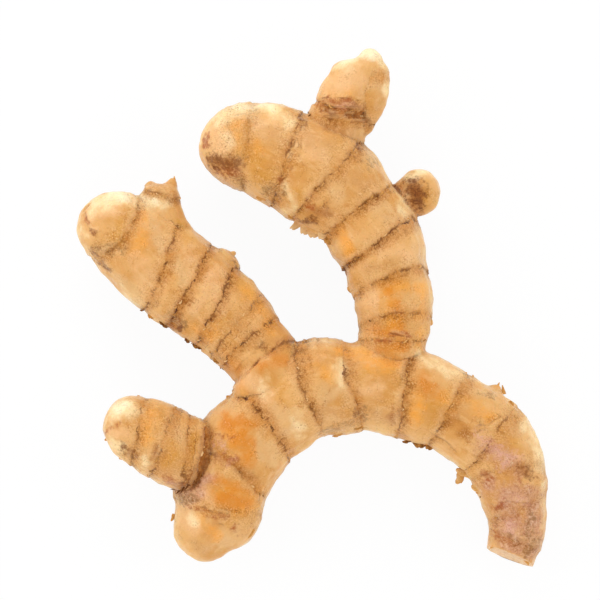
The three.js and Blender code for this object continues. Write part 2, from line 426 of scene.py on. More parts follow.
# %% [markdown]
# ## The cut end
# The mother shoot was cut through at its old end. A Boolean or a bisect would do that too, but would need
# a new face there. Here the points beyond the cut are pushed back onto its plane, so the skin keeps all
# its faces and stays closed. Points below the table are lifted onto it, which presses the root flat where
# it lies.

# %% Cut the old end and set the root on the table
CUT_PLACE = np.array([42.8, -54.2, 3])  # a point on the plane of the cut
CUT_FACING = np.array([-0.376, -0.905, 0.2])  # the way the cut face looks
OLD_END = 30  # only points to the right of this X belong to the old end
beyond = (points - CUT_PLACE) @ CUT_FACING
cut_off = (beyond > 0) & (points[:, 0] > OLD_END)
rough_cut = beyond + 0.1 * bumps(1.6, seed=61.3)
points[cut_off] -= rough_cut[cut_off][:, None] * CUT_FACING
points[:, 2] = np.maximum(points[:, 2], 0)
skin.vertices.foreach_set("co", (points * MM).astype(np.float32).ravel())
skin.update()
print(int(cut_off.sum()), "points lie on the cut face, and", int((points[:, 2] == 0).sum()), "on the table")

# %% [markdown]
# ## Stains
# Fresh turmeric is never one colour. Where the corky skin is thin, orange flesh shines through; damp soil
# leaves grey; young tips are pale, and the old end has dried to mauve. The cream, pale and peach stains
# are partly painted highlights on the tips and tops, and the brown ones partly painted shade in the cleft
# where the side finger meets the mother. One noise for all would put these at random, so each stain is
# placed one by one, as a soft spot or streak seen from above. Its edge is bent by noise, and it fades out
# down the flanks. Underneath, where nothing was placed, the same stains lie at random.

# %% Stains: (x, y, radius, strength), or with a second x and y for a streak
STAINS = {
    # Cream: partly pale skin, partly painted highlights on the tips and tops
    "cream_and_highlight": [
        (-46, 22.5, 2.2, 0.8, -39, 24), (-49, 15.5, 1.2, 0.6), (-37, 22.6, 1.4, 0.8, -31.5, 22.4),
        (-41, 4, 1, 0.5, -36.5, 0.5), (-20.5, 40.8, 1.6, 0.8, -8, 42.8), (-23.4, 36, 0.9, 0.6),
        (-18.5, 37.5, 1.4, 0.4, -17, 35), (-6, 41, 1.2, 0.6, -4.6, 38.6),
        (-5, 25.5, 1.2, 0.6, -4.6, 20.5), (6, 51.5, 1.6, 0.8, 9, 52.6), (14.5, 53, 1.2, 0.8, 16.2, 51),
        (16.2, 49.5, 1, 0.7, 16, 46), (20.5, 28, 1.3, 0.9, 25, 29), (20.5, 20, 1.4, 0.6, 19.5, 24),
        (-0.5, -7.4, 1, 0.7, 3.5, -7.4), (6, -12, 1.6, 0.6, 6.6, -15.5),
        (23.5, -10.6, 1.4, 0.6, 33, -14.6), (46.5, -25, 1.4, 0.7, 49.4, -34),
        (49.6, -38, 0.9, 0.6, 49.6, -47), (-9.6, -15.6, 1.6, 0.4, -10, -17.5),
        (-3.4, -23, 1.6, 0.5, -2.6, -27), (-25.6, -45, 1.2, 0.7, -25, -45.6),
        (-42.5, -22, 2, 0.9, -38.5, -21.5), (-42.5, -28.6, 1.2, 0.7, -40, -29.6),
        (-36, -31, 1.2, 0.8, -35, -33),
    ],
    # Pale: partly pale skin, partly painted highlights on the tops of the tips
    "pale": [
        (-43, 24.6, 1.2, 0.9, -39.5, 24.2), (-37, 24, 0.9, 0.6, -33, 22.4),
        (-16.5, 43.2, 1, 0.8, -9, 43.4), (7, 53, 1, 0.8, 9, 53.4), (11, 54.5, 1.3, 0.9, 13, 54.6),
        (23.5, 29.3, 1, 0.7), (-41.5, -21, 1, 0.7, -39, -20.6),
    ],
    "beige": [
        (-34, 20, 2.2, 0.7, -31.5, 13), (-44, 8, 1.6, 0.7, -36, 1.5), (-28.5, 11, 2, 0.8, -26.5, 6),
        (-21, 12.6, 1.2, 0.7, -17.4, 11.4), (-18.5, 27, 1.2, 0.7, -10.5, 24.6),
        (14, 48, 1.6, 0.7, 15, 44.5), (11.5, 33.6, 1.6, 0.6, 13.8, 30.5), (3, 27.5, 1.8, 0.5, 5.5, 23.5),
        (4.8, 13.6, 1.2, 0.7, 8, 8.5), (14, 21.5, 2.4, 0.7, 18.5, 19), (23, 18, 1.4, 0.7, 23.6, 14),
        (22, 13, 1.6, 0.6, 23.5, 9.5), (25.5, 5, 0.8, 0.7, 25.5, -1), (3.5, -18, 2.2, 0.8, 6, -17),
        (26, -12.4, 1.6, 0.7, 34, -16.5), (34.5, -17.2, 1.4, 0.8, 39, -18.4),
        (45, -27, 1.6, 0.5, 47.6, -31), (-9, -21.5, 2.2, 0.7, -5.5, -25.5),
        (-23, -23, 1.4, 0.7, -17.5, -21.2), (-10.5, -27.5, 1.6, 0.8, -8.6, -33),
        (-19, -50, 2.2, 0.7, -15.5, -48), (-36, -35.5, 1, 0.6, -31, -38),
        (-29, -23, 1.4, 0.7, -28, -27.5),
    ],
    "deep": [
        (-38, 19, 1.4, 0.5, -39, 13), (-29.3, 24.5, 0.8, 0.6, -29, 22.5), (-17.5, 31, 1.8, 0.7),
        (6, 41, 2.4, 0.6), (22, 24.6, 1.8, 0.7), (46, -48, 1.8, 0.4, 46.5, -53), (40.5, -49.5, 1.8, 0.5),
        (3, 38, 1.6, 0.5, 8.5, 37.6), (-1, 20.6, 1.3, 0.6, 3, 20.2), (17, -23.4, 1.2, 0.6, 18.6, -21.4),
        (30.5, -23.5, 1.6, 0.5, 32.5, -27), (-15, -34, 1.3, 0.7, -12.5, -36.5),
        (-33, -29.6, 0.9, 0.8, -33.4, -31.4),
    ],
    "amber": [
        (-36.5, 18.5, 2.2, 0.45, -37, 13), (-24, -4.5, 1.6, 0.6, -21.5, -5),
        (-10, -1.5, 1.6, 0.6, -8.5, -4.5), (-15.5, 39, 1.6, 0.4, -15, 34.5), (-12, 35, 1.8, 0.3, -9, 33),
        (8, 45.8, 1.4, 0.6, 3.5, 45.6), (6, 16, 1.6, 0.7, 8, 12), (14.5, 4.5, 1.5, 0.5, 19.5, 4.5),
        (23, 4.5, 1.6, 0.6, 23.5, -1.5), (23, -5, 1.4, 0.6, 23, -8), (1.5, -12.5, 2.2, 0.5, 4, -14),
        (6, -9.4, 1.2, 0.7, 12, -9.6), (22, -19.5, 1.6, 0.7, 22.5, -24), (28, -19, 1.8, 0.5, 31, -20),
        (34.5, -21, 2, 0.5, 38, -23), (10.5, -11.5, 1.8, 0.6, 18, -12), (-18, -24.5, 2.4, 0.6, -14, -31),
        (-19, -39, 2.6, 0.6, -14, -40), (16.5, 3, 2.2, 0.6, 18, -8), (-14, 4, 1.8, 0.6, -9, -4),
        (-15, -16.5, 1.6, 0.5, -13.5, -19), (-15, -43, 2.2, 0.7, -12.5, -40),
        (-23.5, -46, 1.8, 0.6, -20.5, -48), (-34.5, -22.5, 2, 0.6, -34.5, -27.5),
    ],
    "tan": [
        (-15.5, -3, 2, 0.85, -13, -6.5), (-21, -3, 1.4, 0.6, -18.5, 1), (-23, -8, 1.4, 0.6, -20.5, -9),
        (-10, 38, 2.2, 0.7, -7, 35), (-1, 36, 2.4, 0.8, 2.5, 33.5), (7.5, 28, 2.4, 0.6, 11, 26),
        (12, 8.5, 1.8, 0.6, 19, 9.5), (2.5, -22.5, 2.4, 0.7, 6, -24), (14, -22.5, 1.8, 0.6, 17, -23),
        (31.5, -21.5, 1.8, 0.6, 35, -22.5), (41.5, -22, 1.8, 0.7, 43.5, -26),
        (-3.4, -12, 1.8, 0.6, -1.6, -15.5), (-6, -28, 1.6, 0.6, -3.5, -24),
        (-26, -50.5, 2, 0.6, -21, -52.5), (-34, -34.5, 1.6, 0.6, -30.5, -36),
        (-35, 26, 1.2, 0.6, -30.5, 25.6), (1.5, 39, 1.8, 0.7, 9, 37), (-32, 12, 1.4, 0.6, -35, 6),
        (8.5, 24, 2, 0.5, 13, 27), (17.5, 16, 1.4, 0.5, 13, 12.5),
    ],
    # Peach: partly the skin's own tone, partly painted highlights on the tips and swellings
    "peach_and_highlight": [
        (-46, 20.5, 2.4, 0.8, -42.5, 21), (-36.5, 9.5, 2.4, 0.6, -33.5, 3), (-25.5, 12, 1.8, 0.6, -25, 8),
        (-25, 0, 2, 0.6, -22.5, 3), (-20.5, 8, 2, 0.7, -20, 0.5), (-20.5, 38.5, 2.4, 0.8, -19, 34.5),
        (-12, 39, 1.5, 0.5, -8, 40), (-0.5, 32, 2, 0.6, 3, 31), (3.5, 46.8, 2.4, 0.9, 9.5, 48.5),
        (15, 13, 2, 0.6, 20, 11.5), (12.6, 2.6, 1.8, 0.7, 12.4, -0.5), (10.5, -17.5, 2, 0.7, 14, -16.5),
        (-13.5, -15.5, 2.4, 0.7, -10, -18.5), (-22, -39.5, 1.4, 0.6, -21.5, -41.5),
        (-28.5, -44.5, 2, 0.8, -25, -47), (-42.5, -26.5, 1.4, 0.7, -40, -27.5),
    ],
    "gold": [
        (-40.5, 20, 1.8, 0.7, -41, 14), (-28.5, 18, 1.4, 0.6, -25.5, 13.5),
        (-34.5, 3.6, 1.2, 0.5, -33, 5.6), (-15, 6, 1.8, 0.7, -11, 1.5), (-13.5, 32, 2.4, 0.8, -10.5, 28),
        (-3, 25, 1, 0.7, -2.6, 20.5), (12.4, 50, 1.4, 0.4, 12, 47), (24.5, 25, 1.6, 0.6, 25, 22),
        (11, -13, 2, 0.5, 16, -12.5), (26, -20.5, 2.4, 0.7, 24.5, -26), (43, -28, 1.6, 0.6, 45.5, -30),
        (31.5, -31.5, 1.6, 0.6, 33.5, -35), (-6.4, -16.5, 2.2, 0.6, -7.5, -20),
        (-17, -46, 1.8, 0.6, -14, -45.5), (-19.5, -52.6, 1.2, 0.6, -22, -53.4),
        (-29.5, -29, 1.8, 0.6, -29, -33), (-25, -27, 1.2, 0.7, -25, -31),
    ],
    "orange": [
        (-19, -10.5, 1.3, 0.6, -16.4, -12.2), (16.5, 3.5, 1.8, 0.6, 18.6, -0.5),
        (13, -5, 1.5, 0.6, 19, -4.6), (14, -8.4, 1.4, 0.7, 20, -8.2), (18, -11, 1.8, 0.5, 16, -10),
        (23.5, -15, 1.8, 0.6, 26, -18), (-6, -11, 1.8, 0.6, -10.5, -12), (-18, -24, 2, 0.8, -13.5, -24.5),
        (-14.5, -27, 2.2, 0.8, -14, -31.5), (-20.5, -36.5, 1.5, 0.7, -14.5, -38.5),
        (-18.5, -40, 2.1, 0.8, -14, -41),
    ],
    "grey": [
        (-46, 12.5, 1.2, 0.7, -40, 12.5), (-29.6, -2, 1.2, 0.8, -27.6, -3.6), (-19.8, -10.6, 0.8, 0.6),
        (-4.4, -8.4, 1, 0.6, -2, -9.2), (-16, 28, 1.2, 0.6, -14.5, 26.6),
        (-2.4, 40.6, 1, 0.7, -1.8, 38.4), (-9.5, 25, 1.2, 0.7, -6.4, 24.4),
        (11, 41, 0.9, 0.6, 12.2, 39.4), (10, 32.5, 1.4, 0.4, 13, 31), (46.8, -44, 1.2, 0.5, 46.8, -49),
        (22.6, 22.8, 1, 0.7), (2.5, -26, 1, 0.5, 8, -25), (36, -24.5, 1, 0.4), (10.6, -22.5, 1.4, 0.8),
        (20, -12.6, 1.2, 0.5, 19.4, -15.5), (36.5, -17.6, 0.8, 0.5, 38.6, -18.6),
        (46.5, -52.5, 1.4, 0.6, 48, -50.5), (-28.5, -41, 1.2, 0.7, -26, -41),
    ],
    # Brown: scabs and crusts, and partly painted shade in the cleft where the side finger meets the mother
    "brown_and_shade": [
        (-46.9, 16.9, 0.5, 1, -46.2, 16.6), (-46.6, 12, 0.6, 0.7, -46, 10.4),
        (-45.8, 9.8, 0.6, 0.7, -43.2, 8.6), (-30.6, -3.8, 0.7, 0.7, -28, -4),
        (-28, 0.6, 0.9, 0.6, -26, 2.2), (-11.5, -7.5, 0.8, 0.5, -10, -8.5),
        (-20.5, 31, 1.6, 0.95, -16, 30.6), (-22, 31.6, 0.7, 0.8, -20, 29.2),
        (8, 41.8, 1.2, 0.9, 10.4, 40.6), (2.4, 42.6, 0.9, 0.8, 5, 40.8), (3, 22, 0.8, 0.5),
        (-2.6, 18.8, 0.6, 0.8, 0.6, 18.8), (21, 26.6, 1.5, 1, 23, 24.4), (23.2, 22, 1.2, 0.9, 21, 25),
        (9, -22, 0.7, 0.6, 9.4, -24.4), (18.8, -22, 0.6, 0.6, 19, -24.6),
        (45.4, -34, 1.1, 0.8, 46.6, -36), (42.8, -48.4, 0.5, 0.9), (-21.8, -30.6, 0.8, 0.6, -20.4, -31.2),
        (-28.4, -38.6, 1.3, 1, -25.5, -37), (-25.4, -36, 1.1, 0.9, -23, -32),
        (-22.6, -31, 0.8, 0.7, -23, -27.5), (-40, -29.8, 0.9, 0.6, -38, -31.4),
    ],
    "mauve": [
        (37, -29, 2.2, 0.7, 43.5, -34), (38.5, -37.5, 2.2, 0.6, 40, -41), (41.5, -40, 3, 0.9, 43.5, -52),
        (47, -41, 2.4, 0.9, 47.5, -52), (-26, -40.5, 2, 0.8, -22.5, -36.5),
    ],
    "pink": [
        (35.5, -26.5, 1.4, 0.5, 40, -31.5), (40.5, -33.5, 1.4, 0.6, 43.5, -31.5),
        (42, -46.5, 1.2, 0.6, 43.2, -48), (46, -42, 1.2, 0.5, 44, -41), (5.5, 43.4, 1, 0.8, 7.5, 42.8),
        (-20.5, -28.4, 1.4, 0.4, -18.8, -29.6), (-17, -32.8, 0.9, 0.6),
    ],
    "rust": [
        (-48.4, 19.8, 0.8, 0.5, -47.4, 18.4), (-22.8, 37.4, 0.6, 0.8, -22.2, 34.2),
        (-19, 29.5, 1.5, 0.7, -16, 29), (-6.8, 26.6, 0.7, 0.9), (2.6, 42.4, 1.5, 0.8, 9.5, 41.4),
        (3.5, 44.4, 0.6, 0.8, 8, 44.2), (-0.4, 22.1, 0.7, 0.8, 0.6, 21.8),
        (13.4, -6.6, 0.6, 0.8, 16.4, -6.9), (17, -5.4, 0.6, 0.8, 20.4, -6.2),
        (36.6, -35.6, 0.9, 0.7, 38, -36.6), (39.4, -48.5, 1.1, 0.5, 42.5, -50.8), (44, -37, 0.8, 0.5),
        (39.4, -43, 0.7, 0.8, 40.6, -41.8), (-21.5, -27, 0.8, 0.5, -16.5, -27),
        (-20, -31.8, 1.1, 0.6, -16.8, -32.6), (-26, -42.8, 0.8, 0.5, -18.4, -44.4),
        (-16.4, -46.8, 0.7, 0.6, -16, -48), (-43.6, -26, 0.7, 0.5, -41.6, -25),
        (-31, -36.6, 0.9, 0.6, -28.6, -37.2),
    ],
}
print(sum(len(spots) for spots in STAINS.values()), "stains of", len(STAINS), "kinds")

# %% Give every point its share of each stain
swirl = np.stack([
    1.1 * bumps(3.4, seed=31.7) + 0.4 * bumps(1.3, seed=33.1),
    1.1 * bumps(3.4, seed=35.9) + 0.4 * bumps(1.3, seed=37.3),
], 1)


def write(name, values):
    """Keep a number for every point of the skin, for the materials to read."""
    skin.attributes.new(name, "FLOAT", "POINT").data.foreach_set("value", np.asarray(values, np.float32))


def streak_distance(x, y, end_x, end_y):
    """How far every point lies from a ragged streak, seen from above."""
    start, reach = np.array([x, y]), np.array([end_x - x, end_y - y])
    offset = points[:, :2] + swirl - start
    share = np.clip(offset @ reach / max(reach @ reach, 1e-9), 0, 1)
    return np.hypot(*(offset - share[:, None] * reach).T)


on_top = np.clip(0.7 + 1.4 * up, 0, 1)
# Painted rim light: the sides of each shoot, where the skin turns away from the top, are made paler
painted_rim_light = np.exp(-((up / 0.55) ** 2)) * np.clip(0.7 + 0.9 * bumps(5, seed=41.3), 0, 1)
write("painted_rim_light", painted_rim_light)
for i, (stain, spots) in enumerate(STAINS.items()):
    amount = np.zeros(len(points))
    for x, y, radius, strength, *end in spots:
        distance = streak_distance(x, y, *(end or (x, y)))
        amount = np.maximum(amount, strength * np.exp(-0.75 * (distance / radius) ** 2))
    beneath = np.clip(bumps(4.5, seed=20.5 + 3 * i) * 1.6 - 0.1, 0, 0.8)
    write(stain, amount * on_top + beneath * (1 - on_top))
    print(stain, "covers", round(100 * float((amount * on_top > 0.3).mean())), "percent")

# %% [markdown]
# ## Cracks
# Here and there the skin has split, or two folds of it meet. Each crack is a few points joined by short
# strokes. The skin is told how far it lies to the left or right of the nearest crack, so that the line
# stays thin.

# %% Cracks: strength, then points from one end to the other
CRACKS = [
    (0.9, [(-2.4, 38.4), (-3.1, 35.8), (-3.8, 34.4), (-5.2, 33), (-5.6, 31)]),
    (0.6, [(-2, 36), (-2.3, 34), (-2.8, 32)]),
    (0.7, [(-3.9, 29.8), (-5.2, 28.4), (-6.6, 26.6)]),
    (0.4, [(-13.5, 40.2), (-13, 37), (-13.4, 34.2)]),
    (0.5, [(-16, 41), (-13.5, 41.2), (-11.5, 42.4)]),
    (0.8, [(2, 44.5), (5, 44.8), (8, 44.3), (10, 44)]),
    (0.6, [(1.6, 42), (5, 41), (9.4, 41)]),
    (0.5, [(4, 40.2), (9.2, 40.5)]),
    (0.6, [(13.4, 50.2), (14.6, 49.4)]),
    (0.8, [(16.8, -5.2), (18.6, -6), (20.6, -6.4)]),
    (0.6, [(12.6, -6.4), (14.6, -6.9), (16.4, -7)]),
    (0.6, [(-16.4, -13.2), (-14.2, -11), (-11.6, -8.8), (-10.4, -7)]),
    (0.6, [(-15, -3.8), (-13.9, -2.4)]),
    (0.5, [(-12.3, 0), (-10.4, 1.3)]),
    (0.5, [(-24.2, -6.7), (-22, -6)]),
    (0.7, [(-25.6, -43), (-23, -42.6), (-20.4, -43.4), (-18.2, -43.8)]),
    (0.5, [(-20.5, -45.6), (-18.6, -46)]),
    (0.6, [(-11.3, -37.8), (-11, -40), (-11.1, -42)]),
    (0.6, [(-21.8, -31), (-19.4, -30.8), (-17.6, -31.6), (-16, -33)]),
    (0.6, [(37.9, -21.7), (40.2, -23.2), (37.5, -24.9), (35.2, -26.3)]),
    (0.6, [(25.6, -26.5), (28.6, -28), (31, -30.6)]),
    (0.5, [(41.7, -31.5), (44.8, -32.3), (46, -34)]),
    (0.9, [(44.8, -33.4), (47.1, -34.8)]),
    (0.5, [(38.3, -35.2), (36.2, -36)]),
    (0.7, [(38.4, -42), (39.5, -43.6), (40.4, -41.6), (41.2, -42.2)]),
    (0.4, [(41.7, -41.2), (46.4, -42)]),
    (0.4, [(43.7, -48.7), (47.1, -51)]),
    (0.6, [(-47.6, 17.2), (-46, 16.7)]),
    (0.5, [(-48.5, 20.4), (-47.4, 18.5)]),
    (0.6, [(-46.1, 9.7), (-43.3, 8.3)]),
    (0.6, [(-35.8, 25.2), (-33, 24.8), (-30.2, 24.1)]),
    (0.4, [(-39.3, 24.4), (-38, 22.6)]),
    (0.5, [(-29.6, -21.8), (-30.2, -24), (-31.5, -26.3)]),
    (0.6, [(-32.4, -29.2), (-33.5, -31.1)]),
]
print(len(CRACKS), "cracks")

# %% Tell every point how far it lies from a crack
crack_gap = np.full(len(points), 4.0)
crack_ink = np.zeros(len(points))
for strength, stops in CRACKS:
    stops = np.array(stops)
    for start, end in zip(stops[:-1], stops[1:]):
        reach = end - start
        offset = points[:, :2] + 0.4 * swirl - start
        share = np.clip(offset @ reach / (reach @ reach), 0, 1)
        distance = np.hypot(*(offset - share[:, None] * reach).T)
        side = reach[0] * offset[:, 1] - reach[1] * offset[:, 0]
        past_end = distance - np.abs(side) / np.hypot(*reach)
        nearer = distance < np.abs(crack_gap)
        crack_gap[nearer] = (np.sign(side) * distance)[nearer]
        crack_ink[nearer] = (strength * np.clip(1 - past_end / 0.3, 0, 1) * (up > 0))[nearer]
write("crack_gap", crack_gap)
write("crack_ink", crack_ink * np.clip(3 - np.abs(crack_gap), 0, 1))
print(int((crack_ink > 0).sum()), "points lie by a crack")

# %% [markdown]
# ## What the material needs to know
# The dark lines of the rings and the painted shade in the seams must sit in their grooves. A material
# can't find the grooves by itself, so the skin keeps the numbers that shaped them as attributes. Flow is
# the unrolled skin: fibres and streaks that are drawn in it run along each shoot, round its bends.

# %% Rings, seams, cut face and flow
near_ring = np.clip(3 - np.abs(ring_gap), 0, 1)
write("ring_gap", np.clip(ring_gap, -4, 4))
write("ring_ink", ring_ink * near_ring)
write("ring_smudge", ring_smudge * near_ring * np.clip(patchy, 0, 1.5))
write("seam_gap", np.clip(seam_gap, 0, 4))
# How strong the painted shade in each seam's crease is, from how deep the seam is
write("seam_shade_strength", np.clip(seam_depth * 2, 0, 1))
write("cut_face", cut_off * 1.0)
flow = skin.attributes.new("flow", "FLOAT_VECTOR", "POINT")
flow.data.foreach_set("vector", straight.astype(np.float32).ravel())
print("the skin keeps", len(skin.attributes), "attributes")

# %% [markdown]
# ## The skin's material
# An image would show its seams here, so the skin is mixed from noise in the root's own millimetres. A
# small class lets the shader's sums be written as sums: it wraps a socket, and each operator adds one
# Math node.

# %% Colours
def paint(red, green, blue):
    """A colour as seen on a screen, from 0 to 255, as the shader's own linear colour."""
    shares = [value / 255 for value in (red, green, blue)]
    return tuple(v / 12.92 if v <= 0.04045 else ((v + 0.055) / 1.055) ** 2.4 for v in shares) + (1.0,)


print("a middle grey is", [round(value, 3) for value in paint(128, 128, 128)], "to the shader")


# %% A class for shader sums
class Wire:
    """A socket that does its sums by adding nodes."""

    def __init__(self, sheet, socket):
        self.sheet, self.socket = sheet, socket

    def sum(self, operation, *values):
        """Add one Math node for an operation on some values or wires."""
        return self.sheet.node("ShaderNodeMath", {"operation": operation}, dict(enumerate(values)))

    def __add__(self, other):
        return self.sum("ADD", self, other)

    def __sub__(self, other):
        return self.sum("SUBTRACT", self, other)

    def __mul__(self, other):
        return self.sum("MULTIPLY", self, other)

    def __truediv__(self, other):
        return self.sum("DIVIDE", self, other)

    def __rsub__(self, other):
        return self.sum("SUBTRACT", other, self)

    __radd__ = __add__
    __rmul__ = __mul__

    def size(self):
        """The value without its sign."""
        return self.sum("ABSOLUTE", self)

    def step(self, start, end):
        """0 before start and 1 after end, with a smooth rise; it falls where end comes before start."""
        values = {"Value": self, "From Min": start, "From Max": end}
        return self.sheet.node("ShaderNodeMapRange", {"interpolation_type": "SMOOTHSTEP"}, values)


# %% A class for a sheet of nodes
class Sheet:
    """The node sheet of one material, or of the world."""

    def __init__(self, owner):
        owner.use_nodes = True
        self.tree = owner.node_tree
        self.tree.nodes.clear()

    def node(self, kind, settings=None, values=None, output=0):
        """Add a node: its settings first, then the values or wires of its sockets."""
        node = self.tree.nodes.new(kind)
        for key, value in (settings or {}).items():
            setattr(node, key, value)
        for key, value in (values or {}).items():
            if isinstance(value, Wire):
                self.tree.links.new(value.socket, node.inputs[key])
            else:
                node.inputs[key].default_value = value
        return Wire(self, node.outputs[output]) if node.outputs else None

    def read(self, name, output="Fac"):
        """An attribute that the mesh keeps."""
        return self.node("ShaderNodeAttribute", {"attribute_name": name}, output=output)

    def noise(self, place, size, detail=2.0, roughness=0.55):
        """Noise from 0 to 1 with lumps of a size in the units of place."""
        values = {"Vector": place, "Scale": 1 / size, "Detail": detail, "Roughness": roughness}
        return self.node("ShaderNodeTexNoise", {}, values)

    def blend(self, amount, under, over):
        """Colour over laid on colour under, as far as amount says."""
        return self.node("ShaderNodeMix", {"data_type": "RGBA"}, {0: amount, 6: under, 7: over}, output=2)

    def scale(self, place, factors):
        """A place with each of its three numbers multiplied."""
        return self.node("ShaderNodeVectorMath", {"operation": "MULTIPLY"}, {0: place, 1: factors})

    def millimetres(self):
        """Where each point of the object lies, in millimetres."""
        metres = self.node("ShaderNodeTexCoord", output="Object")
        return self.scale(metres, (1 / MM, 1 / MM, 1 / MM))


# %% Noises for the skin, from broad to fine; those in the flow are drawn out along the shoots
turmeric_skin = bpy.data.materials.new("turmeric_skin")
sheet = Sheet(turmeric_skin)
place = sheet.millimetres()
flow_place = sheet.read("flow", "Vector")
fibres_place = sheet.scale(flow_place, (1, 1, 0.16))
streaks_place = sheet.scale(flow_place, (1, 1, 0.35))
hatch_place = sheet.scale(flow_place, (1, 1, 0.45))

broad = sheet.noise(place, 9)
middle = sheet.noise(place, 3.2, detail=6, roughness=0.62)
streaks = sheet.noise(streaks_place, 1.6, detail=5, roughness=0.6)
small = sheet.noise(place, 0.9, detail=4, roughness=0.6)
fine = sheet.noise(place, 0.33, detail=2)
fibres = sheet.noise(fibres_place, 0.42, detail=3, roughness=0.6)
hatch = sheet.noise(hatch_place, 0.5, detail=3, roughness=0.6)
crumb = (fine + small) * 0.5
print(len(sheet.tree.nodes), "nodes so far")

# %% [markdown]
# ## Layers of colour
# A skin like this is a stack: flesh colours first, then dried skin, soil and crumbs over them. A colour
# ramp could hold only one such row of colours, so every layer is laid on the last one with a mask of its
# own. A mask is an attribute that says where, broken up by a noise that says how ragged.

# %% Two ways to lay a colour on
def stained(under, stain, over, most, soft=0.5, grain=middle):
    """The colour under, with a stain over it whose edge breaks up in the grain."""
    amount = sheet.read(stain)
    broken = (amount + (grain - 0.5) * 2).step(0.5 - soft, 0.5 + soft) * amount.step(0.03, 0.3)
    return sheet.blend(broken * most, under, over)


def crumbled(under, zone, dark, pale):
    """The colour under, broken up in a zone by dark crumbs of soil and pale crumbs of torn skin."""
    darker = sheet.blend(zone * crumb.step(0.48, 0.6) * 0.75, under, dark)
    return sheet.blend(zone * crumb.step(0.48, 0.38) * 0.5, darker, pale)


# %% Flesh colours
colour = sheet.blend(broad.step(0.35, 0.62), paint(224, 170, 104), paint(208, 146, 72))
colour = sheet.blend(middle.step(0.48, 0.7) * 0.5, colour, paint(200, 136, 56))
colour = stained(colour, "gold", paint(206, 140, 42), 0.8)
colour = stained(colour, "tan", paint(206, 152, 92), 0.85)
colour = stained(colour, "beige", paint(220, 174, 118), 0.8)
colour = stained(colour, "deep", paint(160, 90, 16), 0.85)
colour = stained(colour, "amber", paint(240, 158, 46), 0.85)
# Peach: partly the skin's own tone, partly painted highlights on the tips and swellings
colour = stained(colour, "peach_and_highlight", paint(234, 182, 126), 0.85)
colour = stained(colour, "orange", paint(212, 124, 12), 0.9)
fresh = sheet.read("orange") + sheet.read("amber")
colour = sheet.blend(streaks.step(0.5, 0.72) * (1 - fresh * 0.8) * 0.4, colour, paint(236, 190, 132))
# Cream: partly pale skin, partly painted highlights on the tips and tops
colour = stained(colour, "cream_and_highlight", paint(253, 228, 176), 0.78)
# Pale: partly pale skin, partly painted highlights on the tops of the tips
colour = stained(colour, "pale", paint(255, 244, 206), 0.85)
# Painted rim light: a pale cream laid on the sides of the shoots
colour = sheet.blend(sheet.read("painted_rim_light") * middle.step(0.3, 0.6) * 0.7, colour, paint(250, 214, 144))
print(len(sheet.tree.nodes), "nodes so far")

# %% The dried old end, and soil and crusts
colour = stained(colour, "mauve", paint(206, 150, 118), 0.8)
colour = crumbled(colour, sheet.read("mauve") * 0.6, paint(178, 116, 78), paint(242, 208, 184))
scruff = sheet.read("mauve") * middle.step(0.4, 0.6)
colour = sheet.blend(scruff * (hatch + small * 0.5).step(0.8, 0.88) * 0.7, colour, paint(170, 92, 58))
colour = sheet.blend(scruff * (streaks + small * 0.4).step(0.62, 0.52) * 0.6, colour, paint(250, 218, 190))
colour = stained(colour, "pink", paint(234, 180, 162), 0.75, soft=0.4, grain=small)
colour = stained(colour, "grey", paint(160, 120, 72), 0.7, soft=0.45, grain=small)
colour = crumbled(colour, sheet.read("grey"), paint(122, 76, 24), paint(226, 190, 136))
colour = stained(colour, "rust", paint(160, 68, 0), 0.85, soft=0.45, grain=small)
# Brown scabs and crusts, and partly painted shade in the cleft where the side finger meets the mother
colour = stained(colour, "brown_and_shade", paint(128, 66, 2), 0.85, soft=0.45, grain=small)
colour = crumbled(colour, sheet.read("brown_and_shade"), paint(84, 36, 0), paint(176, 112, 40))
print(len(sheet.tree.nodes), "nodes so far")

# %% The cut face, and scruff all over
flesh = sheet.read("cut_face")
colour = sheet.blend(flesh * 0.85, colour, paint(230, 178, 112))
colour = crumbled(colour, flesh * 0.6, paint(204, 126, 44), paint(246, 208, 156))
crust = sheet.read("grey") + sheet.read("brown_and_shade") + sheet.read("mauve")
near_rings = sheet.read("ring_gap").size().step(3.4, 1)
scruffy = 0.1 + middle.step(0.52, 0.66) * 0.45 + near_rings * 0.4
colour = sheet.blend(fibres.step(0.5, 0.72) * scruffy * 0.4, colour, paint(176, 112, 46))
colour = sheet.blend(small.step(0.5, 0.68) * scruffy * 0.4, colour, paint(178, 116, 46))
colour = sheet.blend(fine.step(0.5, 0.7) * scruffy * 0.9, colour, paint(168, 104, 38))
colour = sheet.blend(fine.step(0.5, 0.3) * scruffy * (1 - crust) * 0.6, colour, paint(250, 208, 150))
print(len(sheet.tree.nodes), "nodes so far")

# %% [markdown]
# ## The lines of the rings, seams and cracks
# A leaf scar isn't one line. Its lip is pale, partly a dry edge and partly a painted highlight on the
# proud rim; the skin below it has painted shade and soil, and the torn leaf leaves dark dashes and a
# fringe. Each of these is a band cut out of one number, the distance from the ring, which noise makes
# wander. In the crease where two shoots meet, a seam gets a band and a line of painted shade.

# %% Bands along the rings
wander = (small - 0.5) * 1.4 + (fine - 0.5) * 0.5
gap = sheet.read("ring_gap") + wander
ink = sheet.read("ring_ink")
smudge = sheet.read("ring_smudge")
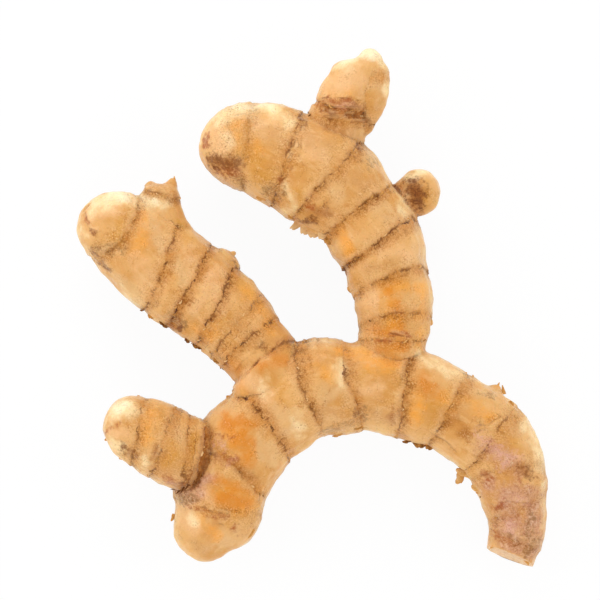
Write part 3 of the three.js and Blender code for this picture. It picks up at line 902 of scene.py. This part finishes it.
# The lip: partly a dry pale edge, partly a painted highlight on the proud rim
lip_and_highlight = gap.step(0, 0.3) * gap.step(2.2, 0.4) * smudge
shade = gap.step(-3.4, -0.3) * gap.step(1.8, -0.2) * (ink + smudge)
soil = gap.step(-2.2, -0.6) * gap.step(0.9, -0.2) * (smudge * 0.7 + ink * 0.3) * middle.step(0.3, 0.6)
torn = (0.45 - (gap + 0.1).size()) / 0.35 + (streaks - 0.5) * 4.5 + ink * 0.9 - 1.7
dashes = torn.step(0.3, 0.8) * gap.step(-1.5, -1) * gap.step(1.2, 0.8) * ink.step(0.05, 0.3)
breaks = (middle + streaks).step(0.92, 1.06)
ring_line = (gap + 0.15).size().step(0.3, 0.06) * ink.step(0.1, 0.6) * breaks
tufts = (hatch + middle * 0.6).step(0.84, 0.94)
fringe = gap.step(-1.6, -0.5) * gap.step(1, 0.2) * ink * tufts
seam = sheet.read("seam_gap") + wander * 0.5
seam_shade_strength = sheet.read("seam_shade_strength")
# The painted shade in the crease of a seam: a soft band and a thin dark line
seam_shade_band = seam.step(1.4, 0.1) * seam_shade_strength
seam_shade_line = seam.step(0.26, 0.04) * seam_shade_strength
print(len(sheet.tree.nodes), "nodes so far")

# %% Lay the rings and seams on
# The lip: partly a dry pale edge, partly a painted highlight on the proud rim
colour = sheet.blend(lip_and_highlight * 0.45, colour, paint(242, 202, 144))
colour = sheet.blend(shade * 0.32, colour, paint(192, 116, 36))
colour = sheet.blend(soil * 0.4, colour, paint(160, 100, 28))
colour = crumbled(colour, soil * 0.75, paint(116, 56, 0), paint(232, 188, 124))
# Painted shade in the crease of each seam, broken up by crumbs of soil
colour = sheet.blend(seam_shade_band * 0.5, colour, paint(180, 100, 30))
colour = crumbled(colour, seam_shade_band * 0.6, paint(112, 64, 18), paint(226, 172, 104))
colour = sheet.blend(fringe * 0.75, colour, paint(128, 68, 8))
colour = sheet.blend(ring_line * 0.65, colour, paint(112, 58, 6))
colour = sheet.blend(dashes * 0.85, colour, paint(88, 38, 0))
# The painted dark line at the bottom of each seam's crease
colour = sheet.blend(seam_shade_line * 0.75, colour, paint(98, 46, 0))

# %% Lay the cracks on: a lit edge, a shaded edge and a line
split = sheet.read("crack_gap") + (fine - 0.5) * 0.5
split_ink = sheet.read("crack_ink") * (middle + streaks).step(0.85, 1.1)
split_line = (split + 0.02).size().step(0.28, 0.06) * split_ink
split_lit = split.step(0.1, 0.5) * split.step(1.3, 0.6) * split_ink
split_shaded = split.step(-0.1, -0.4) * split.step(-1.6, -0.5) * split_ink
colour = sheet.blend(split_lit * 0.4, colour, paint(244, 200, 142))
colour = sheet.blend(split_shaded * 0.35, colour, paint(178, 108, 40))
colour = sheet.blend(split_line * 0.6, colour, paint(130, 74, 20))
print(len(sheet.tree.nodes), "nodes so far")

# %% [markdown]
# ## Fine bumps and a dull sheen
# Pores and fibres a tenth of a millimetre deep are too fine for the mesh, so they are a bump. Fresh corky
# skin is nearly matt, with a soft waxy sheen, and a little light goes into the flesh.

# %% Finish the skin
pores = (small - 0.5) * 1.1 + (fibres - 0.5) * 0.5 + (fine - 0.5) * 0.7
crusty = soil + sheet.read("grey") + sheet.read("mauve")
height = (
    (middle - 0.5) + pores * (scruffy + 0.25) + (crumb - 0.5) * crusty * 2
    - dashes * 0.6 - seam_shade_line * 0.4 - split_line * 0.8
)
bump = sheet.node(
    "ShaderNodeBump", {}, {"Strength": 0.8, "Distance": 0.25 * MM, "Height": height}, output="Normal"
)
roughness = 0.36 + small * 0.15 + soil * 0.2
gloss = (1 - soil) * 0.2
shader = sheet.node(
    "ShaderNodeBsdfPrincipled", {},
    {
        "Base Color": colour, "Roughness": roughness, "Normal": bump, "Specular IOR Level": 0.14,
        "Coat Weight": gloss, "Coat Roughness": 0.35,
        "Sheen Weight": 0.5, "Sheen Roughness": 0.35, "Sheen Tint": (1, 0.93, 0.78, 1),
        "Subsurface Weight": 0.15, "Subsurface Radius": (1, 0.4, 0.15), "Subsurface Scale": 1.5 * MM,
    },
)
sheet.node("ShaderNodeOutputMaterial", {}, {"Surface": shader})
rhizome.data.materials.clear()
rhizome.data.materials.append(turmeric_skin)
print("the skin's material has", len(sheet.tree.nodes), "nodes")

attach(rhizome, "root")
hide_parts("rhizome")

# %% [markdown]
# ## Torn scales
# A scale leaf wraps each ring of the young root and dries to paper. On an old root only scraps of it are
# left, which stand out at the edge and lift off along the rings. One scrap is made from a small grid: its
# free edge is pulled into teeth and curled up. Every other scrap is a copy of it, stretched and turned to
# its place.

# %% One scrap, a millimetre wide, with its free edge towards +Y
# How far each corner of the free edge is pulled out or in, from left to right.
TEETH = (-0.6, -0.25, -0.1, -0.2, 0.05, -0.05, -0.3, -0.65)


def pick(mesh, wanted):
    """Select only the points that are wanted; wanted is given a point in millimetres."""
    bpy.ops.mesh.select_all(action="DESELECT")
    bpy.ops.object.mode_set(mode="OBJECT")
    for point in mesh.vertices:
        point.select = bool(wanted(point.co / MM))
    bpy.ops.object.mode_set(mode="EDIT")


bpy.ops.object.select_all(action="DESELECT")
bpy.ops.mesh.primitive_grid_add(
    x_subdivisions=len(TEETH) - 1, y_subdivisions=3, size=MM, location=(0, 0.5 * MM, 0)
)
scrap = bpy.context.object
scrap.name = "scrap"
bpy.ops.object.transform_apply(location=True, rotation=True, scale=True)
bpy.ops.object.mode_set(mode="EDIT")
bpy.ops.mesh.select_mode(type="VERT")
for column, tooth in enumerate(TEETH):
    corner_x = -0.5 + column / (len(TEETH) - 1)
    pick(scrap.data, lambda co: co.y > 0.6 and abs(co.x - corner_x) < 0.05)
    bpy.ops.transform.translate(value=(0, tooth * MM, 0))
pick(scrap.data, lambda co: co.y > 0.3)
bpy.ops.transform.translate(value=(0, 0, 0.1 * MM))
pick(scrap.data, lambda co: co.y > 0.5)
bpy.ops.transform.translate(value=(0, 0, 0.16 * MM))
pick(scrap.data, lambda co: abs(co.x) > 0.4)
bpy.ops.transform.translate(value=(0, 0, -0.15 * MM))
bpy.ops.object.mode_set(mode="OBJECT")
wall = scrap.modifiers.new("wall", "SOLIDIFY")
wall.thickness = 0.12 * MM
wall.offset = 0
bpy.ops.object.modifier_apply(modifier=wall.name)
print("one scrap of", len(scrap.data.polygons), "faces")

# %% Scraps seen at the edge: (x, y, heading in degrees, width, reach, tone from pale 0 to dark 1)
EDGE_SCRAPS = [
    (-3.2, 17.5, 200, 1.6, 1.2, 0.1), (-1.4, 17, 240, 2.2, 1.1, 0.05), (0.4, 16.2, 250, 2.4, 1, 0.15),
    (2.2, 15.8, 250, 1.8, 0.9, 0.1), (3.6, 14.6, 230, 1.8, 0.8, 0.6), (0.6, 15.8, 250, 1.2, 0.4, 0.85),
    (-10.6, 23.6, 250, 2.4, 0.5, 0.4), (-4.4, 19.6, 225, 1.2, 0.4, 0.5),
    (-34.4, -1.8, 235, 1.6, 0.3, 0.5), (-31.8, -3.2, 235, 2.4, 0.4, 0.8),
    (-26.6, -6.7, 230, 1.6, 0.4, 0.8), (-24.4, -8.2, 235, 2.4, 0.4, 0.8),
    (-20.3, -11.2, 225, 1.6, 0.4, 0.7), (-37, -19.3, 95, 1.3, 0.3, 0.3),
    (-41.4, -20.6, 125, 1.2, 0.3, 0.2), (20.6, -28.3, 262, 2.4, 0.4, 0.8),
    (23, -29.2, 258, 2.6, 0.6, 0.75), (25, -29.8, 250, 1.8, 0.4, 0.7), (10, -25.4, 270, 2, 0.3, 0.6),
    (5.6, -27, 265, 2.2, 0.3, 0.4), (42.8, -20.6, 45, 1.4, 0.3, 0.5), (-28.6, -38.4, 200, 0.4, 1.4, 1),
    (-27.8, -38.6, 225, 0.4, 1.4, 1), (-27, -38, 240, 0.4, 1.5, 1), (-26, -37.4, 225, 0.4, 1.5, 1),
    (-25, -36.6, 215, 0.4, 1.4, 0.9),
]
print(len(EDGE_SCRAPS), "scraps are to stand out at the edge")

# %% Lay the scraps at the edge
EDGE_HEIGHT = 12  # about how high above the table the outline of the root runs
outward = read_vectors(skin.vertex_normals, "vector")


def root_at(x, y):
    """The point of the skin nearest to a place seen from above, and not far from the edge's height."""
    miss = (points[:, 0] - x) ** 2 + (points[:, 1] - y) ** 2
    return int((miss + 0.02 * (points[:, 2] - EDGE_HEIGHT) ** 2).argmin())


def copy_of(model, tone):
    """A copy with its own mesh, which keeps a tone for the material to read."""
    bpy.ops.object.select_all(action="DESELECT")
    model.select_set(True)
    bpy.context.view_layer.objects.active = model
    bpy.ops.object.duplicate(linked=False)
    copy = bpy.context.object
    tones = copy.data.attributes.new("tone", "FLOAT", "POINT")
    tones.data.foreach_set("value", [tone] * len(copy.data.vertices))
    return copy


def lay_scrap(spot, heading, width, reach, tone, lift=0.35):
    """Copy the scrap to a point of the skin, with its free edge towards heading and lifted a little."""
    copy = copy_of(scrap, tone)
    normal = Vector(outward[spot].tolist())
    ahead = Vector((cos(heading), sin(heading), 0))
    ahead = (ahead - 0.5 * ahead.dot(normal) * normal + lift * normal).normalized()
    face = (normal + Vector((0, 0, 1))).normalized()
    across = ahead.cross(face).normalized()
    copy.matrix_world = Matrix((across, ahead, across.cross(ahead))).transposed().to_4x4()
    copy.scale = (width, reach, min(width, reach))
    copy.location = (Vector(points[spot].tolist()) - 0.15 * normal) * MM
    bpy.ops.object.transform_apply(location=True, rotation=True, scale=True)
    return copy


scraps = []
for x, y, turned, width, reach, tone in EDGE_SCRAPS:
    spot = root_at(x, y)
    over_x = x + reach * cos(radians(turned)) - points[spot, 0]
    over_y = y + reach * sin(radians(turned)) - points[spot, 1]
    scraps.append(lay_scrap(spot, atan2(over_y, over_x), width, hypot(over_x, over_y) + 0.4, tone))
print(len(scraps), "scraps at the edge")

# %% Scraps along the rings, most of them turned towards the base of their shoot
SPACING = 1.4  # the least distance between two scraps, in millimetres
SHARE_LEFT = 0.6  # how many of the scraps that there is room for are still there
chance = np.random.default_rng(5)
on_ring = np.flatnonzero((np.abs(ring_gap - 0.1) < 0.3) & (up > 0.15) & (ring_ink * patchy > 0.25))
taken = []
for spot in chance.permutation(on_ring):
    has_room = all(np.linalg.norm(points[spot] - points[other]) > SPACING for other in taken)
    if has_room and chance.random() < SHARE_LEFT:
        taken.append(spot)
        towards = heading[spot] + (pi if chance.random() < 0.7 else 0) + chance.normal(0, 0.4)
        width = chance.uniform(0.4, 1.3)
        reach = chance.uniform(0.25, 0.5)
        tone = chance.uniform(0.15, 0.85)
        scraps.append(lay_scrap(spot, towards, width, reach, tone, lift=0.12))
print(len(taken), "scraps along the rings")

# %% [markdown]
# ## Stubs of rootlets
# Where a rootlet was broken off, a short crooked stub is left, and where a scale leaf ends in a point, a
# small horn. A cone would be too straight for either. Each starts as a disc of eight sides, which is
# extruded, moved and made smaller a few times. Its copies are stretched to fit.

# %% One stub and one horn, a millimetre wide and long, that point to +Y
def grow_spike(name, steps):
    """A disc drawn out along Y; each step is (sideways, ahead, how much smaller the loop gets)."""
    bpy.ops.object.select_all(action="DESELECT")
    bpy.ops.mesh.primitive_circle_add(
        vertices=8, radius=0.5 * MM, fill_type="NGON", rotation=(radians(90), 0, 0)
    )
    spike = bpy.context.object
    spike.name = name
    bpy.ops.object.transform_apply(location=True, rotation=True, scale=True)
    bpy.ops.object.mode_set(mode="EDIT")
    bpy.ops.mesh.select_all(action="SELECT")
    x = y = 0
    for sideways, ahead, size in steps:
        step = (sideways * MM, ahead * MM, 0)
        bpy.ops.mesh.extrude_region_move(TRANSFORM_OT_translate={"value": step})
        x, y = x + sideways, y + ahead
        bpy.ops.transform.resize(value=(size, size, size), center_override=(x * MM, y * MM, 0))
    bpy.ops.mesh.select_all(action="SELECT")
    bpy.ops.mesh.normals_make_consistent(inside=False)
    bpy.ops.object.mode_set(mode="OBJECT")
    return spike


stub = grow_spike("stub", (
    (0.05, 0.3, 1), (-0.12, 0.26, 0.86), (0.1, 0.24, 0.84), (0.06, 0.16, 0.55), (0, 0.04, 0.5),
))
horn = grow_spike("horn", ((0, 0.35, 0.78), (0.03, 0.3, 0.62), (0.02, 0.25, 0.5), (0, 0.1, 0.4)))
print("a stub of", len(stub.data.polygons), "faces and a horn of", len(horn.data.polygons))

# %% Stubs: (x and y of the base, x and y of the tip, width, tone)
STUBS = [
    (34, -35.8, 31, -34.9, 1.8, 0.35), (32.4, -35.4, 31.4, -38, 1.8, 0.4),
    (32.6, -36, 32.2, -37.8, 0.8, 0.45), (36.8, -38.4, 34.4, -38.8, 2.2, 0.3),
    (37, -39.3, 35.4, -39.9, 1.2, 0.5), (36.6, -39.6, 36.3, -40.9, 0.5, 1),
    (34.9, -15.8, 34.6, -14.4, 0.7, 0.3), (10, 4, 7.6, 4, 2, 0.4), (11.8, -5.6, 10.2, -5.4, 1, 0.4),
    (11.6, -7.8, 10.2, -7.6, 0.9, 0.4), (24.6, -2.6, 26, -3.4, 1.6, 0.3),
    (-17.6, 10.6, -16.6, 12.2, 1.6, 0.25), (2.2, 42.4, 0.9, 43.6, 0.9, 0.7),
    (-16.6, -19.8, -18.4, -19.1, 1.3, 0.5), (-12.4, -47.4, -13.6, -49.4, 0.9, 0.5),
    (-29.6, -44.4, -30.2, -46, 0.8, 0.5), (-39.9, -31.6, -41.2, -32.4, 1.1, 0.4),
    (-43.4, -27.6, -44.2, -28.4, 0.8, 0.5), (-5.4, -31.4, -4.8, -33, 0.9, 0.6),
    (-24.6, -24.6, -25.8, -23.8, 0.9, 0.4),
]

# %% Horns: (x and y of the base, x and y of the tip, width, tone)
HORNS = [
    (39.6, -18, 40.4, -16, 1.2, 0.4), (41.4, -18.6, 41, -16.6, 1.1, 0.5),
    (46.4, -54.4, 47, -55.6, 1.2, 0.5), (39.6, -51.2, 38.6, -52, 1.2, 0.5),
    (-29.5, 26.6, -29.6, 28.4, 1, 0.4),
]
print(len(STUBS), "stubs and", len(HORNS), "horns")


# %% Lay the stubs and horns
def place_spike(spike, x, y, end_x, end_y, width, tone):
    """Copy a spike so that it runs from a place in the skin to a tip outside it, a little flattened."""
    height = points[root_at(end_x, end_y), 2]
    copy = copy_of(spike, tone)
    copy.location = (x * MM, y * MM, height * MM)
    copy.rotation_euler = (0, 0, atan2(end_y - y, end_x - x) - pi / 2)
    copy.scale = (width, hypot(end_x - x, end_y - y), 0.7 * width)
    bpy.ops.object.transform_apply(location=True, rotation=True, scale=True)
    return copy


scraps += [place_spike(stub, *row) for row in STUBS]
scraps += [place_spike(horn, *row) for row in HORNS]
print(len(scraps), "scraps, stubs and horns in all")

# %% All scraps, stubs and horns as one piece; the three models aren't needed any more
torn_scales = join(scraps, "torn_scales")
bpy.ops.object.shade_smooth_by_angle(angle=radians(40))
for model in (scrap, stub, horn):
    bpy.data.objects.remove(model)
print("torn scales of", len(torn_scales.data.polygons), "faces")

# %% [markdown]
# ## Dry scale
# A dry scale leaf is papery, from straw to dark brown. One material serves them all: each scrap keeps its
# own tone, and a noise mottles it.

# %% The scraps' material
dry_scale = bpy.data.materials.new("dry_scale")
scale_sheet = Sheet(dry_scale)
mottle = scale_sheet.noise(scale_sheet.millimetres(), 0.6, detail=4, roughness=0.6)
tone = scale_sheet.read("tone") + (mottle - 0.5) * 0.9
scale_colour = scale_sheet.blend(tone.step(0, 0.5), paint(240, 200, 144), paint(206, 148, 76))
scale_colour = scale_sheet.blend(tone.step(0.5, 0.95), scale_colour, paint(104, 58, 14))
scale_bump = scale_sheet.node(
    "ShaderNodeBump", {}, {"Strength": 0.6, "Distance": 0.1 * MM, "Height": mottle}, output="Normal"
)
scale_shader = scale_sheet.node(
    "ShaderNodeBsdfPrincipled", {},
    {
        "Base Color": scale_colour, "Roughness": 0.6, "Normal": scale_bump, "Specular IOR Level": 0.15,
        "Sheen Weight": 0.4, "Sheen Roughness": 0.35,
    },
)
scale_sheet.node("ShaderNodeOutputMaterial", {}, {"Surface": scale_shader})
torn_scales.data.materials.clear()
torn_scales.data.materials.append(dry_scale)
print("the scraps' material has", len(scale_sheet.tree.nodes), "nodes")
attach(torn_scales, "root")

# %% [markdown]
# ## Table, light and camera
# The root lies on a plain white table in a bright white room, with a soft lamp on each of its four sides.
# A table lit until it looks white would wash out the root, so the table and the room are white only to
# the camera, and give the root a plainer light. The camera hangs over the root and looks straight down.

# %% The table
bpy.ops.object.select_all(action="DESELECT")
bpy.ops.mesh.primitive_plane_add(size=4, location=(0, 0, 0))
table = bpy.context.object
table.name = "table"


def seen_directly(sheet):
    """1 for what the camera sees, straight or in a shiny or clear thing, and 0 for what only gives light."""
    straight_on, shiny, clear = (
        sheet.node("ShaderNodeLightPath", output=f"Is {kind} Ray")
        for kind in ("Camera", "Glossy", "Transmission")
    )
    return straight_on + shiny + clear


white_table = bpy.data.materials.new("white_table")
table_sheet = Sheet(white_table)
seen = seen_directly(table_sheet)
matt = table_sheet.node("ShaderNodeBsdfDiffuse", {}, {"Color": (0.94, 0.94, 0.94, 1)})
glow = table_sheet.node("ShaderNodeEmission", {}, {"Color": (1, 1, 1, 1), "Strength": 1})
surface = table_sheet.node("ShaderNodeMixShader", {}, {0: seen * 0.94, 1: matt, 2: glow})
table_sheet.node("ShaderNodeOutputMaterial", {}, {"Surface": surface})
table.data.materials.append(white_table)
print("the table is", round(table.dimensions.x, 1), "m wide")

# %% The room and the lamps
LAMP_SIZE = 0.4  # in metres
room = bpy.data.worlds.new("white room")
bpy.context.scene.world = room
room_sheet = Sheet(room)
strength = 0.64 + seen_directly(room_sheet) * 0.36
backdrop = room_sheet.node(
    "ShaderNodeBackground", {}, {"Color": (1, 1, 1, 1), "Strength": strength}
)
room_sheet.node("ShaderNodeOutputWorld", {}, {"Surface": backdrop})


def lamp(name, place, power):
    """A square soft lamp that faces the root; its place is in metres and its power in watts."""
    bpy.ops.object.light_add(type="AREA", location=place)
    light = bpy.context.object
    light.name = name
    light.data.size = LAMP_SIZE
    light.data.energy = power
    light.rotation_euler = (Vector((0, 0, 0.01)) - Vector(place)).to_track_quat("-Z", "Y").to_euler()


lamp("back", (-0.1, 0.5, 0.3), 1.5)
lamp("right", (0.55, 0.05, 0.25), 1)
lamp("left", (-0.55, 0.05, 0.25), 1.1)
lamp("front", (0, -0.55, 0.25), 1.1)

# %% The camera, in millimetres
CAMERA_HEIGHT = 600
MIDDLE_HEIGHT = 10  # where the shoots' centre lines run
VIEW_WIDTH = 129  # what the camera sees from side to side at that height
bpy.ops.object.camera_add(location=(-2.5 * MM, 1.7 * MM, CAMERA_HEIGHT * MM), rotation=(0, 0, 0))
camera = bpy.context.object
camera.data.sensor_width = 36
camera.data.lens = camera.data.sensor_width * (CAMERA_HEIGHT - MIDDLE_HEIGHT) / VIEW_WIDTH
camera.data.clip_start = 0.01
bpy.context.scene.camera = camera
bpy.context.scene.view_settings.view_transform = "Standard"
print("a lens of", round(camera.data.lens), "mm")
